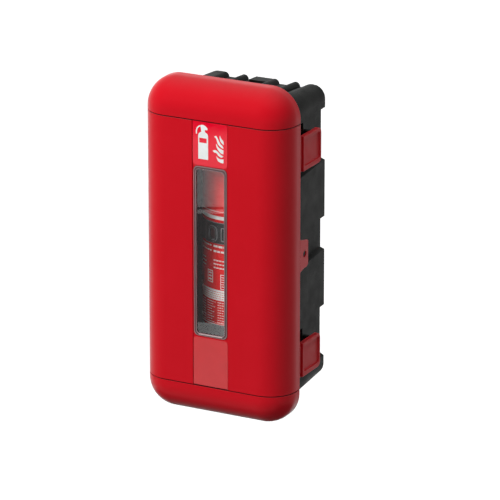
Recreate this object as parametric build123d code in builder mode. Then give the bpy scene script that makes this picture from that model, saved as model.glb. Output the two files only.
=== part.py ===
from build123d import *
import os
from math import cos, radians, sin

# Wall-hung fire extinguisher cabinet, millimetres.
# Origin: centre of the flat back face that lies on the wall.
# +Y points into the wall, the door faces -Y, +Z is up, +X is to the right of
# somebody who stands in front of the door.

os.makedirs("parts", exist_ok=True)

# ---------------------------------------------------------------- overall
W = 335.0            # width over the door
H = 715.0            # height over the door
DEPTH = 240.0        # wall to door front

# ---------------------------------------------------------------- door
DOOR_DEPTH = 76.0    # front face to rim
WALL = 3.5           # moulded door wall
CORNER_R = 64.0      # corners seen from the front
EDGE_R = 60.0        # rounding from the front face to the sides
SEAM_Z = 285.0       # height of the seam between a cap and the centre panel
SEAM_GAP = 2.6
RIM_EDGE_R = 1.0
TONGUE = 9.0         # lap of a cap behind the centre panel
TONGUE_T = 2.0
STRIP_HW = 41.0      # half width of the shallow channel down the middle
STRIP_D = 2.0

WIN_HW = 38.5        # opening for the window insert
WIN_LO, WIN_HI = -176.0, 189.5
WIN_R = 10.0
FRAME_W = 6.5        # face width of the clear insert's border
PANE_T = 2.0
SIGN_LO = 191.5
LABEL_HI = -179.0
PLATE_T = 0.9

# ---------------------------------------------------------------- case
BACK_HW, BACK_HH = 140.5, 315.5     # bulges and ribs at the wall
CASE_Z = 3.0                        # the tub sits this much above the middle of the door
STEP = 9.5                          # depth of the flutes
DRAFT = 4.0                         # degrees of widening towards the door
CASE_DEPTH = 166.0                  # wall to mouth
CASE_R = 27.0
CASE_T = 3.0
BACK_T = 4.0
FLANGE_HW, FLANGE_HH = 151.5, 341.0
FLANGE_T = 3.0
BULGE_LO, BULGE_HI = 32.0, 162.0    # side bulge, measured from the tub's middle
CORNER_LO = 264.0                   # where the corner bulges begin
CORNER_X = 119.0                    # where they begin on the top and bottom
# raised ribs on the top and the bottom: centre, width, rounding
RIBS = ((-106.25, 49.5, 24.0), (-96.0, 29.0, 9.8), (-46.0, 20.0, 9.8), (25.0, 20.0, 9.8), (73.0, 20.0, 9.8), (111.0, 54.0, 26.9))
PAD_X, PAD_W, PAD_L = 4.25, 44.5, 36.0
SCREW_X, SCREW_Z, SCREW_R = 100.0, 240.0, 4.25
SEAL_R = 7.0                        # hole in the seal tab

# ---------------------------------------------------------------- hinges and latches
PIN_X = 161.5        # hinge pins on the left
PIN_Y = 84.0 - DEPTH
PIN_R = 2.5
BARREL_R = 6.0
LATCH_PIN_X = 160.0  # latch pins on the right, set deeper behind the rim
LATCH_PIN_Y = 84.5 - DEPTH
LATCH_PIN_R = 2.0
LATCH_BARREL_R = 3.75
PIN_CLEAR = 0.3
LATCH_UP, LATCH_DOWN = 217.5, -226.0     # mid heights of the two rows of plates
LATCH_HH = 37.0
LATCH_FRONT = 89.25 - DEPTH
STRAP_FRONT = 95.5 - DEPTH
LATCH_REAR = 170.0 - DEPTH
LATCH_T = 9.0
POCKET = 3.2
LATCH_OUT = W / 2
LUG_T = 7.0
LUG_OFF = 33.5       # lug centre from the latch's middle
CATCH_X = 153.0

# ---------------------------------------------------------------- extinguisher
BOT_R = 77.0
BOT_Y = 128.0 - DEPTH
BOT_LO, BOT_SHOULDER, BOT_TOP = -178.0, 152.0, 196.0
BASE_LO = -190.0
LIP_HI = -162.0
STRAP_LO, STRAP_HI = 14.0, 56.0
STRAP_T = 2.5
BUCKLE_T = 2.5
EYE_X, EYE_Z, EYE_W, EYE_H = -19.0, 33.0, 22.0, 34.0
SLOT_X = 5.0
HOSE_R = 9.0
HOSE_X = 99.0
HOSE_BEND = 46.0
VALVE_Z = 226.0


def rect_block(hw, hh, r, y0, depth, taper=0.0):
    """Rounded rectangle drawn at Y = y0 and pushed towards the front."""
    with BuildPart(mode=Mode.PRIVATE) as blk:
        with BuildSketch(Plane.XZ.offset(-y0)):
            RectangleRounded(2 * hw, 2 * hh, r)
        extrude(amount=depth, taper=taper)
    return blk.part


def door_block(inset):
    """Pillow-edged door volume, moved in by inset on every outer side."""
    with BuildPart(mode=Mode.PRIVATE) as blk:
        with BuildSketch(Plane.XZ.offset(DEPTH - DOOR_DEPTH)):
            RectangleRounded(W - 2 * inset, H - 2 * inset, CORNER_R - inset)
        extrude(amount=DOOR_DEPTH - inset)
        fillet(blk.faces().sort_by(Axis.Y)[0].edges(), radius=EDGE_R - inset)
        if inset == 0:
            fillet(blk.faces().sort_by(Axis.Y)[-1].edges(), radius=RIM_EDGE_R)
    return blk.part


# ================================================================ CASE
def case_volume(t, depth, grow=0.0):
    """Fluted tub volume. t moves every wall inwards, depth is its reach from the wall."""
    y0 = -BACK_T if t else 0.0
    low = rect_block(BACK_HW - STEP - t, BACK_HH - STEP - t, CASE_R - t if t else CASE_R, y0, depth, -DRAFT)
    high = rect_block(BACK_HW - t, BACK_HH - t, CASE_R - t if t else CASE_R, y0, depth, -DRAFT)
    with BuildPart(mode=Mode.PRIVATE) as masks:
        for sx in (-1, 1):
            for sz in (-1, 1):
                # corner bulge; the corner at the top left has ribs only
                if sx > 0 or sz < 0:
                    with BuildSketch(Plane.XZ):
                        with BuildLine():
                            Polyline(
                                (sx * (CORNER_X + t), sz * (BACK_HH - STEP - 8)),
                                (sx * (CORNER_X + t), sz * (BACK_HH + 30)),
                                (sx * 200, sz * (BACK_HH + 30)),
                                (sx * 200, sz * (CORNER_LO + t + 40)),
                                (sx * (BACK_HW - STEP - 2), sz * (CORNER_LO + t)),
                                (sx * (BACK_HW - STEP - 8), sz * (CORNER_LO + t)),
                                close=True,
                            )
                        make_face()
                    extrude(amount=depth + 20)
                # side bulge
                with BuildSketch(Plane.XZ):
                    with BuildLine():
                        Polyline(
                            (sx * (BACK_HW - STEP - 20), sz * (BULGE_LO + t)),
                            (sx * (BACK_HW - STEP - 2), sz * (BULGE_LO + t)),
                            (sx * (BACK_HW + 26), sz * (BULGE_LO + t + 13)),
                            (sx * (BACK_HW + 26), sz * (BULGE_HI - t - 13)),
                            (sx * (BACK_HW - STEP - 2), sz * (BULGE_HI - t)),
                            (sx * (BACK_HW - STEP - 20), sz * (BULGE_HI - t)),
                            close=True,
                        )
                    make_face()
                extrude(amount=depth + 20)
    with BuildPart(mode=Mode.PRIVATE) as vol:
        add(high)
        add(masks.part, mode=Mode.INTERSECT)
        add(low)
    return vol.part


def top_ribs():
    """Rounded ribs that run from front to back on the top and the bottom, sloped with the draft."""
    rise, run = sin(radians(DRAFT)), cos(radians(DRAFT))
    with BuildPart(mode=Mode.PRIVATE) as ribs:
        for sz in (-1, 1):
            for x, rib_w, rib_r in RIBS:
                slope = Plane(origin=(x, 2, sz * (BACK_HH - 2 * rise / run)), x_dir=(1, 0, 0), z_dir=(0, -run, sz * rise))
                with BuildSketch(slope):
                    with Locations((0, -sz * 30)):
                        RectangleRounded(rib_w, 60, rib_r)
                extrude(amount=CASE_DEPTH + 6)
        # raised pad between the middle and the third rib, at the back of the top
        pad = Plane(origin=(PAD_X, 2, BACK_HH - 0.6 - 2 * rise / run), x_dir=(1, 0, 0), z_dir=(0, -run, rise))
        with BuildSketch(pad):
            with Locations((0, -7)):
                Rectangle(PAD_W, 14)
        extrude(amount=PAD_L)
        with Locations((0, -CASE_DEPTH / 2, 0)):
            Box(900, CASE_DEPTH, 900, mode=Mode.INTERSECT)
    return ribs.part


LIFT = Location((0, 0, CASE_Z))
tub_outer_low = rect_block(BACK_HW - STEP, BACK_HH - STEP, CASE_R, 0.0, CASE_DEPTH, -DRAFT).moved(LIFT)
fluted = case_volume(0.0, CASE_DEPTH).moved(LIFT)

with BuildPart(mode=Mode.PRIVATE) as case_outer:
    add(fluted)
    add(top_ribs().moved(LIFT))

inner_volume = case_volume(CASE_T, CASE_DEPTH + 10).moved(LIFT)

with BuildPart() as back_case:
    add(case_outer.part)
    # outward lip at the mouth
    with BuildSketch(Plane.XZ.offset(CASE_DEPTH - FLANGE_T)):
        RectangleRounded(2 * FLANGE_HW, 2 * FLANGE_HH, 36)
    extrude(amount=FLANGE_T)
    add(inner_volume, mode=Mode.SUBTRACT)
    # four wall screws
    with Locations(Plane.XZ):
        with Locations(*[(sx * SCREW_X, sz * SCREW_Z, -1) for sx in (-1, 1) for sz in (-1, 1)]):
            Cylinder(SCREW_R, 2 * BACK_T + 4, mode=Mode.SUBTRACT)
    # finger gaps in the right side, in front of the catches
    for zm in (LATCH_UP, LATCH_DOWN):
        with Locations((140, -121, zm + 8)):
            Box(70, 54, 80, mode=Mode.SUBTRACT)
back_case.part.label = "back_case"
export_step(back_case.part, "parts/back_case.step")

# ---------------------------------------------------------------- support under the bottle
SHELF_HW, SHELF_FRONT = 74.0, 40.0 - DEPTH
with BuildPart() as bottle_shelf:
    with BuildSketch(Plane.XZ.offset(BACK_T)):
        with Locations((0, (BASE_LO - 300) / 2)):
            Rectangle(2 * SHELF_HW, BASE_LO + 300)
    extrude(amount=-SHELF_FRONT - BACK_T)
    with BuildSketch(Plane.XZ.offset(-SHELF_FRONT - 12)):
        with Locations((0, (LIP_HI + BASE_LO - 20) / 2)):
            Rectangle(2 * SHELF_HW, LIP_HI - BASE_LO + 20)
    extrude(amount=12)
    fillet(bottle_shelf.edges().filter_by(Axis.Z).group_by(Axis.Y)[0], radius=6)
    fillet(bottle_shelf.faces().sort_by(Axis.Z)[-1].edges().sort_by(Axis.Y)[0], radius=1.2)
    # hollow under the shelf and behind the lip
    with BuildSketch(Plane.XZ.offset(BACK_T)):
        with Locations((0, (BASE_LO - 4 - 310) / 2)):
            Rectangle(2 * SHELF_HW - 6, BASE_LO - 4 + 310)
    extrude(amount=-SHELF_FRONT - BACK_T - 6, mode=Mode.SUBTRACT)
    with BuildSketch(Plane.XZ.offset(-SHELF_FRONT - 20)):
        with Locations((0, BASE_LO + 40)):
            Rectangle(2 * SHELF_HW - 6, 80)
    extrude(amount=17, mode=Mode.SUBTRACT)
bottle_shelf.part.label = "bottle_shelf"
export_step(bottle_shelf.part, "parts/bottle_shelf.step")

with BuildPart() as bottle_cradle:
    with BuildSketch(Plane.XY.offset(STRAP_LO - 14)):
        with BuildLine():
            Polyline((-46, -BACK_T), (46, -BACK_T), (58, BOT_Y + 34), (50, BOT_Y + 30), (-50, BOT_Y + 30), (-58, BOT_Y + 34), close=True)
        make_face()
    extrude(amount=STRAP_HI - STRAP_LO + 28)
    with Locations((0, BOT_Y, (STRAP_LO + STRAP_HI) / 2)):
        Cylinder(BOT_R + STRAP_T, 200, mode=Mode.SUBTRACT)
    with Locations((0, -BACK_T - 4 - 6, (STRAP_LO + STRAP_HI) / 2)):
        Box(62, 12, 60, mode=Mode.SUBTRACT)
bottle_cradle.part.label = "bottle_cradle"
export_step(bottle_cradle.part, "parts/bottle_cradle.step")

with BuildPart() as strap_band:
    with BuildSketch(Plane.XY.offset(STRAP_LO)):
        with Locations((0, BOT_Y)):
            Circle(BOT_R + STRAP_T)
            Circle(BOT_R, mode=Mode.SUBTRACT)
    extrude(amount=STRAP_HI - STRAP_LO)
    # the band is open under the eye of the buckle
    with BuildSketch(Plane.XZ.offset(-BOT_Y)):
        with Locations((EYE_X, EYE_Z)):
            SlotOverall(EYE_H - 8, EYE_W - 8, rotation=90)
    extrude(amount=100, mode=Mode.SUBTRACT)
strap_band.part.label = "strap_band"
export_step(strap_band.part, "parts/strap_band.step")

# buckle: a curved plate on the band with a raised eye and a slot
with BuildPart() as strap_buckle:
    with BuildSketch(Plane.XY.offset(STRAP_LO - 1.5)):
        with Locations((0, BOT_Y)):
            Circle(BOT_R + STRAP_T + BUCKLE_T)
            Circle(BOT_R + STRAP_T, mode=Mode.SUBTRACT)
        with Locations((0, BOT_Y - 60)):
            Rectangle(78, 44, mode=Mode.INTERSECT)
    extrude(amount=STRAP_HI - STRAP_LO + 3)
    with BuildPart(mode=Mode.PRIVATE) as eye:
        with BuildSketch(Plane.XZ.offset(-BOT_Y)):
            with Locations((EYE_X, EYE_Z)):
                SlotOverall(EYE_H, EYE_W, rotation=90)
        extrude(amount=100)
    with BuildPart(mode=Mode.PRIVATE) as raised:
        with BuildSketch(Plane.XY.offset(EYE_Z - EYE_H)):
            with Locations((0, BOT_Y)):
                Circle(BOT_R + STRAP_T + BUCKLE_T + 2.0)
                Circle(BOT_R + STRAP_T + BUCKLE_T - 1.0, mode=Mode.SUBTRACT)
        extrude(amount=2 * EYE_H)
        add(eye.part, mode=Mode.INTERSECT)
    add(raised.part)
    with BuildSketch(Plane.XZ.offset(-BOT_Y)):
        with Locations((EYE_X, EYE_Z)):
            SlotOverall(EYE_H - 8, EYE_W - 8, rotation=90)
        with Locations((SLOT_X, EYE_Z)):
            RectangleRounded(5, 26, 1.5)
    extrude(amount=100, mode=Mode.SUBTRACT)
strap_buckle.part.label = "strap_buckle"
export_step(strap_buckle.part, "parts/strap_buckle.step")

# ================================================================ EXTINGUISHER
with BuildPart() as extinguisher_cylinder:
    with BuildSketch(Plane.XZ.offset(-BOT_Y)):
        with BuildLine():
            Polyline((0, BOT_LO), (BOT_R - 10, BOT_LO))
            RadiusArc((BOT_R - 10, BOT_LO), (BOT_R, BOT_LO + 10), -10)
            Line((BOT_R, BOT_LO + 10), (BOT_R, BOT_SHOULDER))
            Bezier((BOT_R, BOT_SHOULDER), (BOT_R, BOT_SHOULDER + 26), (BOT_R - 26, BOT_TOP), (20, BOT_TOP))
            Polyline((20, BOT_TOP), (0, BOT_TOP), (0, BOT_LO))
        make_face()
    revolve(axis=Axis((0, BOT_Y, 0), (0, 0, 1)))
extinguisher_cylinder.part.label = "extinguisher_cylinder"
export_step(extinguisher_cylinder.part, "parts/extinguisher_cylinder.step")

with BuildPart() as extinguisher_base:
    with BuildSketch(Plane.XY.offset(BASE_LO)):
        with Locations((0, BOT_Y)):
            Circle(BOT_R - 2)
            Circle(BOT_R - 12, mode=Mode.SUBTRACT)
    extrude(amount=BOT_LO - BASE_LO)
extinguisher_base.part.label = "extinguisher_base"
export_step(extinguisher_base.part, "parts/extinguisher_base.step")

with BuildPart() as neck_collar:
    with Locations((0, BOT_Y, BOT_TOP + 6)):
        Cylinder(19, 12)
    chamfer(neck_collar.edges().filter_by(GeomType.CIRCLE).group_by(Axis.Z)[-1], length=2)
neck_collar.part.label = "neck_collar"
export_step(neck_collar.part, "parts/neck_collar.step")

VALVE_LO, VALVE_HI = BOT_TOP + 12, 246.0
with BuildPart() as valve_body:
    with Locations((0, BOT_Y, (VALVE_LO + VALVE_HI) / 2)):
        Cylinder(14, VALVE_HI - VALVE_LO)
    with Locations((10, BOT_Y, VALVE_Z)):
        Box(20, 18, 20)
    with Locations(Plane.YZ.offset(26)):
        with Locations((BOT_Y, VALVE_Z)):
            Cylinder(8, 12)
    with Locations((0, BOT_Y - 13, VALVE_Z - 2)):
        Box(20, 14, 16)
valve_body.part.label = "valve_body"
export_step(valve_body.part, "parts/valve_body.step")

# lower handle: a folded strip that runs forward and droops
with BuildPart() as carry_handle:
    with BuildSketch(Plane.YZ):
        with BuildLine():
            Polyline(
                (BOT_Y + 18, VALVE_HI),
                (BOT_Y - 20, VALVE_HI),
                (BOT_Y - 36, VALVE_HI + 4),
                (BOT_Y - 82, VALVE_HI - 14),
                (BOT_Y - 81, VALVE_HI - 11),
                (BOT_Y - 36, VALVE_HI + 7.5),
                (BOT_Y - 20, VALVE_HI + 3),
                (BOT_Y + 18, VALVE_HI + 3),
                close=True,
            )
        make_face()
    extrude(amount=11, both=True)
carry_handle.part.label = "carry_handle"
export_step(carry_handle.part, "parts/carry_handle.step")

PULL_Y, PULL_Z = BOT_Y + 11, VALVE_HI + 10      # centre line of the safety pin
with BuildPart() as squeeze_lever:
    with BuildSketch(Plane.YZ):
        with BuildLine():
            Polyline(
                (BOT_Y + 16, VALVE_HI + 3),
                (BOT_Y + 16, VALVE_HI + 22),
                (BOT_Y - 4, VALVE_HI + 26),
                (BOT_Y - 74, VALVE_HI + 30),
                (BOT_Y - 84, VALVE_HI + 24),
                (BOT_Y - 82, VALVE_HI + 21.5),
                (BOT_Y - 72, VALVE_HI + 26.5),
                (BOT_Y - 6, VALVE_HI + 22),
                (BOT_Y + 4, VALVE_HI + 3),
                close=True,
            )
        make_face()
    extrude(amount=10, both=True)
    with Locations(Plane.YZ):
        with Locations((PULL_Y, PULL_Z, 0)):
            Cylinder(1.8, 60, mode=Mode.SUBTRACT)
squeeze_lever.part.label = "squeeze_lever"
export_step(squeeze_lever.part, "parts/squeeze_lever.step")

with BuildPart() as safety_pin:
    with Locations(Plane.YZ):
        with Locations((PULL_Y, PULL_Z, -2)):
            Cylinder(1.8, 44)
    with BuildSketch(Plane.YZ.offset(-30)):
        with Locations((PULL_Y, PULL_Z)):
            Circle(2.6)
    extrude(amount=8)
    with BuildSketch(Plane.YZ.offset(-32)):
        with Locations((PULL_Y, VALVE_HI - 2)):
            Circle(13)
            Circle(10.4, mode=Mode.SUBTRACT)
    extrude(amount=2.6)
safety_pin.part.label = "safety_pin"
export_step(safety_pin.part, "parts/safety_pin.step")

with BuildPart() as pressure_gauge:
    with Locations(Plane.XZ.offset(-(BOT_Y - 20))):
        with Locations((0, VALVE_Z - 2, 0)):
            Cylinder(4, 6, align=(Align.CENTER, Align.CENTER, Align.MIN))
        with Locations((0, VALVE_Z - 2, 6)):
            Cylinder(15, 9, align=(Align.CENTER, Align.CENTER, Align.MIN))
    fillet(pressure_gauge.edges().filter_by(GeomType.CIRCLE).sort_by(Axis.Y)[0], radius=1.5)
pressure_gauge.part.label = "pressure_gauge"
export_step(pressure_gauge.part, "parts/pressure_gauge.step")

# hose, clipped to the bottle
HOSE_END = -46.0
with BuildPart() as discharge_hose:
    with BuildLine() as route:
        FilletPolyline((32, BOT_Y, VALVE_Z), (HOSE_X, BOT_Y, VALVE_Z), (HOSE_X, BOT_Y, HOSE_END), radius=HOSE_BEND)
    with BuildSketch(Plane.YZ.offset(32)):
        with Locations((BOT_Y, VALVE_Z)):
            Circle(HOSE_R)
    sweep()
discharge_hose.part.label = "discharge_hose"
export_step(discharge_hose.part, "parts/discharge_hose.step")
print("hose path length", round(route.wires()[0].length, 1), "volume ratio",
      round(discharge_hose.part.volume / (3.14159265 * HOSE_R ** 2 * route.wires()[0].length), 5))

with BuildPart() as hose_nozzle:
    with BuildSketch(Plane.XZ.offset(-BOT_Y)):
        with BuildLine():
            Polyline(
                (HOSE_X, HOSE_END), (HOSE_X + 11, HOSE_END), (HOSE_X + 11, HOSE_END - 16), (HOSE_X + 8, HOSE_END - 22),
                (HOSE_X + 12, HOSE_END - 84), (HOSE_X + 9.5, HOSE_END - 84), (HOSE_X + 5.5, HOSE_END - 30),
                (HOSE_X, HOSE_END - 30), close=True,
            )
        make_face()
    revolve(axis=Axis((HOSE_X, BOT_Y, 0), (0, 0, 1)))
hose_nozzle.part.label = "hose_nozzle"
export_step(hose_nozzle.part, "parts/hose_nozzle.step")

CLIP_Z = 92.0
with BuildPart() as hose_clip:
    with BuildSketch(Plane.XY.offset(CLIP_Z)):
        with Locations((HOSE_X - 9, BOT_Y)):
            Rectangle(34, 12)
        with Locations((HOSE_X, BOT_Y)):
            Circle(HOSE_R + 3)
            Circle(HOSE_R, mode=Mode.SUBTRACT)
        with Locations((0, BOT_Y)):
            Circle(BOT_R, mode=Mode.SUBTRACT)
    extrude(amount=14)
hose_clip.part.label = "hose_clip"
export_step(hose_clip.part, "parts/hose_clip.step")

# ================================================================ DOOR
outer_block = door_block(0.0)
inner_block = door_block(WALL)
tongue_block = door_block(WALL + TONGUE_T)
BIG = 900.0


def cap(sz):
    with BuildPart(mode=Mode.PRIVATE) as tongue:
        add(inner_block)
        add(tongue_block, mode=Mode.SUBTRACT)
        with Locations((0, 0, sz * (SEAM_Z - TONGUE + 9))):
            Box(BIG, BIG, 2 * TONGUE, mode=Mode.INTERSECT)
        with Locations((0, DOOR_DEPTH - DEPTH - 2 + 100, 0)):
            Box(BIG, 204, BIG, mode=Mode.SUBTRACT)
    with BuildPart(mode=Mode.PRIVATE) as shell:
        add(outer_block)
        add(inner_block, mode=Mode.SUBTRACT)
        with Locations((0, 0, sz * (SEAM_Z + SEAM_GAP / 2 + BIG / 2))):
            Box(BIG, BIG, BIG, mode=Mode.INTERSECT)
        add(tongue.part)
    return shell.part


with BuildPart() as door_top_cap:
    add(cap(1))
door_top_cap.part.label = "door_top_cap"
export_step(door_top_cap.part, "parts/door_top_cap.step")

with BuildPart() as door_bottom_cap:
    add(cap(-1))
door_bottom_cap.part.label = "door_bottom_cap"
export_step(door_bottom_cap.part, "parts/door_bottom_cap.step")

WIN_MID, WIN_H = (WIN_LO + WIN_HI) / 2, WIN_HI - WIN_LO
with BuildPart() as door_center_panel:
    add(outer_block)
    add(inner_block, mode=Mode.SUBTRACT)
    Box(BIG, BIG, 2 * (SEAM_Z - SEAM_GAP / 2), mode=Mode.INTERSECT)
    with Locations((0, -DEPTH, 0)):
        Box(2 * STRIP_HW, 2 * STRIP_D, BIG, mode=Mode.SUBTRACT)
    with BuildSketch(Plane.XZ.offset(DEPTH + 5)):
        with Locations((0, WIN_MID)):
            RectangleRounded(2 * WIN_HW, WIN_H, WIN_R)
    extrude(amount=-20, mode=Mode.SUBTRACT)
door_center_panel.part.label = "door_center_panel"
export_step(door_center_panel.part, "parts/door_center_panel.step")

# clear insert: a border that stands in the opening, and the flat pane behind it
with BuildPart() as window_frame:
    with BuildSketch(Plane.XZ.offset(DEPTH - WALL + PANE_T - 0.8)):
        with Locations((0, WIN_MID)):
            RectangleRounded(2 * WIN_HW, WIN_H, WIN_R)
            RectangleRounded(2 * (WIN_HW - FRAME_W), WIN_H - 2 * FRAME_W, WIN_R - 3, mode=Mode.SUBTRACT)
    extrude(amount=WALL - PANE_T + 0.5)
    chamfer(window_frame.faces().sort_by(Axis.Y)[0].edges(), length=0.8)
window_frame.part.label = "window_frame"
export_step(window_frame.part, "parts/window_frame.step")

with BuildPart() as window_pane:
    with BuildSketch(Plane.XZ.offset(DEPTH - WALL - 0.8)):
        with Locations((0, WIN_MID)):
            RectangleRounded(2 * WIN_HW, WIN_H, WIN_R)
    extrude(amount=PANE_T)
window_pane.part.label = "window_pane"
export_step(window_pane.part, "parts/window_pane.step")

with BuildPart() as window_retainer:
    with BuildSketch(Plane.XZ.offset(DEPTH - WALL)):
        with Locations((0, WIN_MID)):
            RectangleRounded(2 * (WIN_HW + 9), WIN_H + 18, WIN_R + 6)
            RectangleRounded(2 * (WIN_HW - FRAME_W), WIN_H - 2 * FRAME_W, WIN_R - 3, mode=Mode.SUBTRACT)
    extrude(amount=-3.2)
    with BuildSketch(Plane.XZ.offset(DEPTH - WALL)):
        with Locations((0, WIN_MID)):
            RectangleRounded(2 * WIN_HW + 0.02, WIN_H + 0.02, WIN_R)
    extrude(amount=-0.8, mode=Mode.SUBTRACT)
window_retainer.part.label = "window_retainer"
export_step(window_retainer.part, "parts/window_retainer.step")

with BuildPart() as sign_plate:
    with BuildSketch(Plane.XZ.offset(DEPTH - STRIP_D)):
        with Locations((0, (SIGN_LO + SEAM_Z - 2) / 2)):
            Rectangle(2 * (STRIP_HW - 1.5), SEAM_Z - 2 - SIGN_LO)
        fillet(vertices().group_by(Axis.Y)[0], radius=7)
    extrude(amount=PLATE_T)
sign_plate.part.label = "sign_plate"
export_step(sign_plate.part, "parts/sign_plate.step")

with BuildPart() as label_plate:
    with BuildSketch(Plane.XZ.offset(DEPTH - STRIP_D)):
        with Locations((0, (LABEL_HI - SEAM_Z + 2) / 2)):
            Rectangle(2 * (STRIP_HW - 1.5), LABEL_HI + SEAM_Z - 2)
        fillet(vertices().group_by(Axis.Y)[-1], radius=7)
    extrude(amount=PLATE_T)
label_plate.part.label = "label_plate"
export_step(label_plate.part, "parts/label_plate.step")

# tab that takes a tamper seal, level with the right side of the door
RIM_Y = DOOR_DEPTH - DEPTH
with BuildPart() as seal_tab:
    with BuildSketch(Plane.YZ.offset(W / 2 - 3)):
        with BuildLine():
            Polyline(
                (RIM_Y, 38), (RIM_Y + 34.5, 29), (RIM_Y + 36, 27), (RIM_Y + 36, -22),
                (RIM_Y + 30, -27), (RIM_Y + 18, -27), (RIM_Y, -32), close=True,
            )
        make_face()
    extrude(amount=3)
    fillet(seal_tab.faces().sort_by(Axis.X)[-1].edges().sort_by(Axis.Y)[1:], radius=0.8)
    with Locations(Plane.YZ.offset(W / 2 - 1.5)):
        with Locations((RIM_Y + 20, 3)):
            Cylinder(SEAL_R, 10, mode=Mode.SUBTRACT)
seal_tab.part.label = "seal_tab"
export_step(seal_tab.part, "parts/seal_tab.step")


def mid(sz):
    return LATCH_UP if sz > 0 else LATCH_DOWN


def axis_of(sx):
    """X, Y, pin radius and barrel radius of the pins on one side."""
    if sx > 0:
        return LATCH_PIN_X, LATCH_PIN_Y, LATCH_PIN_R, LATCH_BARREL_R
    return PIN_X, PIN_Y, PIN_R, BARREL_R


def lugs(sx, sz, clear):
    """Two ears behind the door rim that carry, or run on, one pin."""
    px, py, pr, br = axis_of(sx)
    inner = px - br if sx > 0 else px - 4.0
    with BuildPart(mode=Mode.PRIVATE) as ears:
        for off in (-LUG_OFF, LUG_OFF):
            with BuildSketch(Plane.XY.offset(mid(sz) + off - LUG_T / 2)):
                # root inside the door wall
                with Locations((sx * (inner + W / 2 - WALL) / 2, (RIM_Y - 14 + RIM_Y + 3) / 2)):
                    Rectangle(W / 2 - WALL - inner, 17)
                if sx > 0:
                    with Locations((sx * px, (RIM_Y + py) / 2)):
                        Rectangle(2 * br, py - RIM_Y)
                else:
                    with Locations((sx * (LATCH_OUT - 5), (RIM_Y + py) / 2)):
                        Rectangle(10, py - RIM_Y)
                with Locations((sx * px, py)):
                    Circle(br)
                    Circle(pr + clear, mode=Mode.SUBTRACT)
            extrude(amount=LUG_T)
    return ears.part


def pin_solid(sx, sz):
    px, py, pr, br = axis_of(sx)
    with BuildPart(mode=Mode.PRIVATE) as pin:
        with Locations((sx * px, py, mid(sz))):
            Cylinder(pr, 2 * LUG_OFF + LUG_T - 1)
    return pin.part


def plate(sx, sz, hinge_side):
    """Tray-shaped plate beside the case, with a barrel round its pin."""
    px, py, pr, br = axis_of(sx)
    zm = mid(sz)
    hz = LATCH_HH
    front = STRAP_FRONT if hinge_side else LATCH_FRONT
    ly = LATCH_REAR - front
    ym = (LATCH_REAR + front) / 2
    x_out = LATCH_OUT
    half_barrel = LUG_OFF - LUG_T / 2 - 1
    with BuildPart(mode=Mode.PRIVATE) as p:
        with BuildSketch(Plane.YZ.offset(sx * x_out)):
            with Locations((ym, zm)):
                Rectangle(ly, 2 * hz)
            fillet(vertices().group_by(Axis.X)[-1], radius=12)
        extrude(amount=-sx * LATCH_T)
        fillet(p.faces().filter_by(Axis.X).sort_by(Axis.X)[-1 if sx > 0 else 0].edges(), radius=1.2)
        # shallow pocket in the outer face, with sloped walls
        y0, y1 = front + 4.5, LATCH_REAR - 5.5
        with BuildSketch(Plane.YZ.offset(sx * x_out)):
            with Locations(((y0 + y1) / 2, zm + 1.5)):
                RectangleRounded(y1 - y0, 57, 5)
        extrude(amount=-sx * POCKET, taper=20, mode=Mode.SUBTRACT)
        if hinge_side:
            with Locations((sx * (px + 1.5), (py + front + 4) / 2, zm)):
                Box(4.0, front + 4 - py, 2 * half_barrel)
        else:
            with Locations((sx * px, (py + front + 1) / 2, zm)):
                Box(5.5, front + 1 - py, 2 * half_barrel)
        with Locations((sx * px, py, zm)):
            Cylinder(br, 2 * half_barrel)
            Cylinder(pr + (0.0 if hinge_side else PIN_CLEAR), 200, mode=Mode.SUBTRACT)
    return p.part


# ---------------------------------------------------------------- right side: latches on the door
with BuildPart() as latch_lugs_upper:
    add(lugs(1, 1, 0.0))
latch_lugs_upper.part.label = "latch_lugs_upper"
export_step(latch_lugs_upper.part, "parts/latch_lugs_upper.step")

with BuildPart() as latch_lugs_lower:
    add(lugs(1, -1, 0.0))
latch_lugs_lower.part.label = "latch_lugs_lower"
export_step(latch_lugs_lower.part, "parts/latch_lugs_lower.step")

with BuildPart() as latch_pin_upper:
    add(pin_solid(1, 1))
latch_pin_upper.part.label = "latch_pin_upper"
export_step(latch_pin_upper.part, "parts/latch_pin_upper.step")

with BuildPart() as latch_pin_lower:
    add(pin_solid(1, -1))
latch_pin_lower.part.label = "latch_pin_lower"
export_step(latch_pin_lower.part, "parts/latch_pin_lower.step")

with BuildPart() as latch_upper:
    add(plate(1, 1, False))
latch_upper.part.label = "latch_upper"
export_step(latch_upper.part, "parts/latch_upper.step")

with BuildPart() as latch_lower:
    add(plate(1, -1, False))
latch_lower.part.label = "latch_lower"
export_step(latch_lower.part, "parts/latch_lower.step")

# catch rails on the case that the latches lie over
def catch(sz):
    with BuildPart(mode=Mode.PRIVATE) as rail:
        with Locations(((CATCH_X + 120) / 2, 152 - DEPTH, mid(sz))):
            Box(CATCH_X - 120, 8, 62)
        fillet(rail.edges().filter_by(Axis.Z).sort_by(Axis.X)[-2:], radius=2.5)
        add(tub_outer_low, mode=Mode.SUBTRACT)
    return rail.part


with BuildPart() as catch_upper:
    add(catch(1))
catch_upper.part.label = "catch_upper"
export_step(catch_upper.part, "parts/catch_upper.step")

with BuildPart() as catch_lower:
    add(catch(-1))
catch_lower.part.label = "catch_lower"
export_step(catch_lower.part, "parts/catch_lower.step")

# ---------------------------------------------------------------- left side: hinge straps on the case
with BuildPart() as hinge_lugs_upper:
    add(lugs(-1, 1, PIN_CLEAR))
hinge_lugs_upper.part.label = "hinge_lugs_upper"
export_step(hinge_lugs_upper.part, "parts/hinge_lugs_upper.step")

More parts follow.
